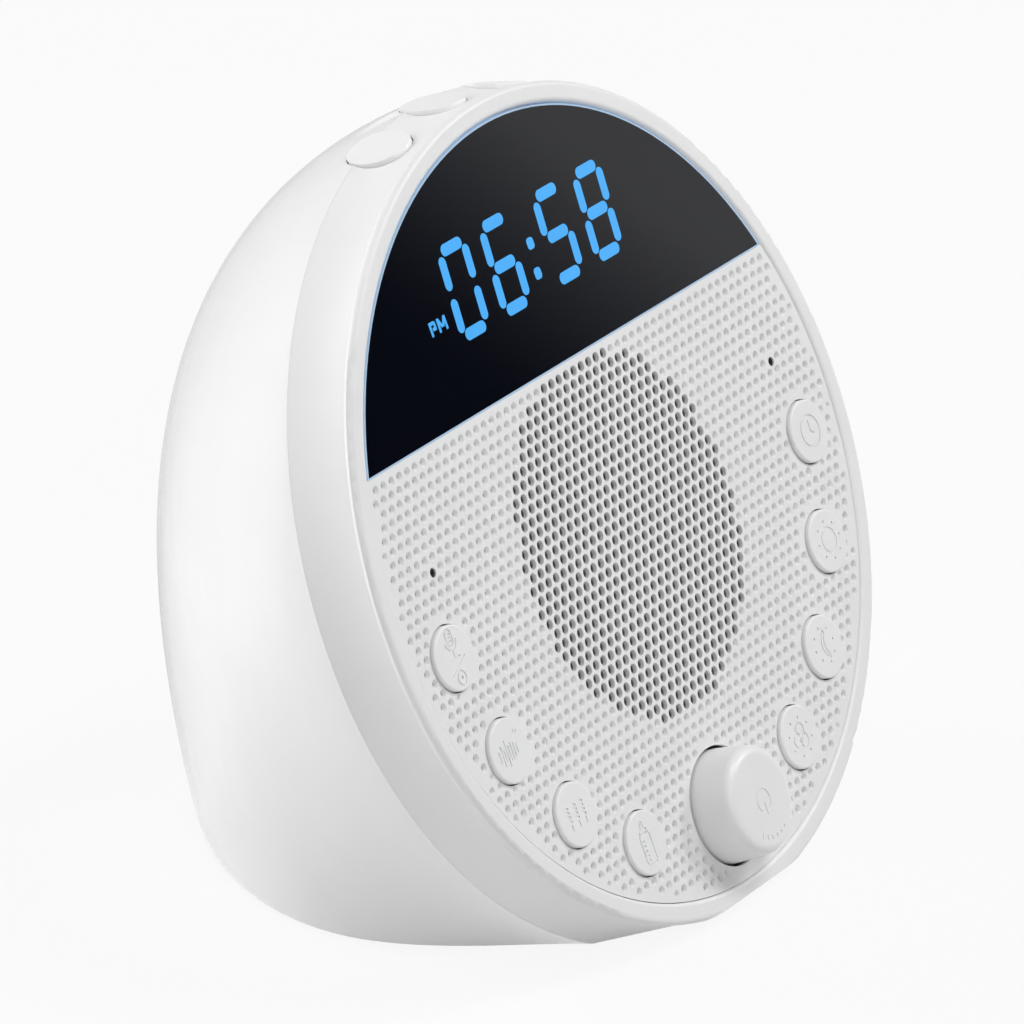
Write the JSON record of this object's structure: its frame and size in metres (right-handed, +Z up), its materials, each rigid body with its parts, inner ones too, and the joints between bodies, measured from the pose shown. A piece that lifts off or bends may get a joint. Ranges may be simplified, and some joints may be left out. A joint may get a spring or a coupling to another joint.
{
  "type": "white noise sound machine",
  "caption": "Tabletop sound machine: round tilted face with clock window, perforated grille, push buttons and a volume knob, on a glossy tapering rear shell.",
  "frame": {"origin": "centre of the underside of the rubber base pad, where it rests on the table", "axes": "+Z up, the face looks towards -Y and leans back 22.7 degrees, +X to the right of someone facing it"},
  "size_m": [0.1332, 0.1064, 0.1204],
  "materials": {
    "housing_satin": "satin white ABS",
    "shell_gloss": "milky glossy white, passes the night light",
    "button_satin": "satin white ABS",
    "knob_satin": "satin white ABS with a slight sheen",
    "pad_rubber": "black rubber",
    "plate_plastic": "dark moulded plastic",
    "window_gloss": "black gloss, smoked",
    "line_clear": "clear, edge lit pale blue",
    "figures_lit": "lit blue light guide",
    "led_white": "white reflector block",
    "cloth_dark": "charcoal acoustic cloth",
    "foam_dark": "soft foam rubber",
    "speaker_steel": "black painted steel",
    "magnet_ferrite": "ferrite and zinc plated steel",
    "cone_paper": "pressed paper",
    "spider_cloth": "resin treated cloth",
    "board_green": "green circuit board laminate",
    "film_amber": "amber polyimide film",
    "chip_black": "black epoxy",
    "plug_ivory": "ivory nylon",
    "capacitor_sleeve": "aluminium can in a dark sleeve",
    "screw_steel": "zinc plated steel",
    "cell_steel": "bright steel",
    "socket_steel": "bright steel",
    "encoder_steel": "plated steel",
    "led_lens": "pale lens",
    "cable_white": "white flat cable"
  },
  "bodies": {
    "body": {"front_housing": "housing_satin", "rear_shell": "shell_gloss", "base_plate": "plate_plastic", "base_pad": "pad_rubber", "base_screws": "screw_steel", "grille_disc": "housing_satin", "grille_cloth": "cloth_dark", "speaker_gasket": "foam_dark", "speaker_frame": "speaker_steel", "speaker_magnet": "magnet_ferrite", "speaker_surround": "foam_dark", "speaker_spider": "spider_cloth", "speaker_screws": "screw_steel", "display_window": "window_gloss", "light_line": "line_clear", "light_guide": "figures_lit", "led_block": "led_white", "display_board": "board_green", "display_screws": "screw_steel", "face_switches": "chip_black", "control_board": "board_green", "control_screws": "screw_steel", "encoder_body": "encoder_steel", "microphones": "cell_steel", "microphone_boots": "foam_dark", "top_switches": "chip_black", "top_bracket": "plate_plastic", "bracket_screws": "screw_steel", "top_film": "film_amber", "main_board": "board_green", "main_screws": "screw_steel", "board_chips": "chip_black", "board_capacitors": "capacitor_sleeve", "board_plugs": "plug_ivory", "cell_holder": "chip_black", "coin_cell": "cell_steel", "power_socket": "socket_steel", "night_frame": "plate_plastic", "night_board": "board_green", "night_leds": "led_lens", "night_screws": "screw_steel", "display_cable": "cable_white", "control_cable": "cable_white"},
    "button_record": {"button_record": "button_satin"},
    "button_sounds": {"button_sounds": "button_satin"},
    "button_nature": {"button_nature": "button_satin"},
    "button_lullaby": {"button_lullaby": "button_satin"},
    "button_timer": {"button_timer": "button_satin"},
    "button_brightness": {"button_brightness": "button_satin"},
    "button_night": {"button_night": "button_satin"},
    "button_colour": {"button_colour": "button_satin"},
    "top_button_left": {"top_button_left": "button_satin"},
    "top_button_middle": {"top_button_middle": "button_satin"},
    "top_button_right": {"top_button_right": "button_satin"},
    "encoder_push": {"encoder_sleeve": "plug_ivory"},
    "knob": {"volume_knob": "knob_satin", "encoder_shaft": "encoder_steel"},
    "cone": {"speaker_cone": "cone_paper"}
  },
  "joints": [
    {"name": "button_record_press", "type": "slide", "parent": "body", "child": "button_record", "axis": [0, 0.9225, -0.3859], "range_m": [0, 0.0005], "stiffness_N_per_m": 1500},
    {"name": "button_sounds_press", "type": "slide", "parent": "body", "child": "button_sounds", "axis": [0, 0.9225, -0.3859], "range_m": [0, 0.0005], "stiffness_N_per_m": 1500},
    {"name": "button_nature_press", "type": "slide", "parent": "body", "child": "button_nature", "axis": [0, 0.9225, -0.3859], "range_m": [0, 0.0005], "stiffness_N_per_m": 1500},
    {"name": "button_lullaby_press", "type": "slide", "parent": "body", "child": "button_lullaby", "axis": [0, 0.9225, -0.3859], "range_m": [0, 0.0005], "stiffness_N_per_m": 1500},
    {"name": "button_timer_press", "type": "slide", "parent": "body", "child": "button_timer", "axis": [0, 0.9225, -0.3859], "range_m": [0, 0.0005], "stiffness_N_per_m": 1500},
    {"name": "button_brightness_press", "type": "slide", "parent": "body", "child": "button_brightness", "axis": [0, 0.9225, -0.3859], "range_m": [0, 0.0005], "stiffness_N_per_m": 1500},
    {"name": "button_night_press", "type": "slide", "parent": "body", "child": "button_night", "axis": [0, 0.9225, -0.3859], "range_m": [0, 0.0005], "stiffness_N_per_m": 1500},
    {"name": "button_colour_press", "type": "slide", "parent": "body", "child": "button_colour", "axis": [0, 0.9225, -0.3859], "range_m": [0, 0.0005], "stiffness_N_per_m": 1500},
    {"name": "top_button_left_press", "type": "slide", "parent": "body", "child": "top_button_left", "axis": [0.2487, -0.3738, -0.8936], "range_m": [0, 0.0005], "stiffness_N_per_m": 1500},
    {"name": "top_button_middle_press", "type": "slide", "parent": "body", "child": "top_button_middle", "axis": [0, -0.3859, -0.9225], "range_m": [0, 0.0005], "stiffness_N_per_m": 1500},
    {"name": "top_button_right_press", "type": "slide", "parent": "body", "child": "top_button_right", "axis": [-0.2487, -0.3738, -0.8936], "range_m": [0, 0.0005], "stiffness_N_per_m": 1500},
    {"name": "knob_press", "type": "slide", "parent": "body", "child": "encoder_push", "axis": [0, 0.9225, -0.3859], "range_m": [0, 0.0005], "stiffness_N_per_m": 1800},
    {"name": "knob_turn", "type": "hinge", "parent": "encoder_push", "child": "knob", "pos_m": [0, -0.0433, 0.01447], "axis": [0, -0.9225, 0.3859], "continuous": true},
    {"name": "cone_stroke", "type": "slide", "parent": "body", "child": "cone", "axis": [0, -0.9225, 0.3859], "range_m": [-0.0006, 0.0006], "stiffness_N_per_m": 1200}
  ]
}
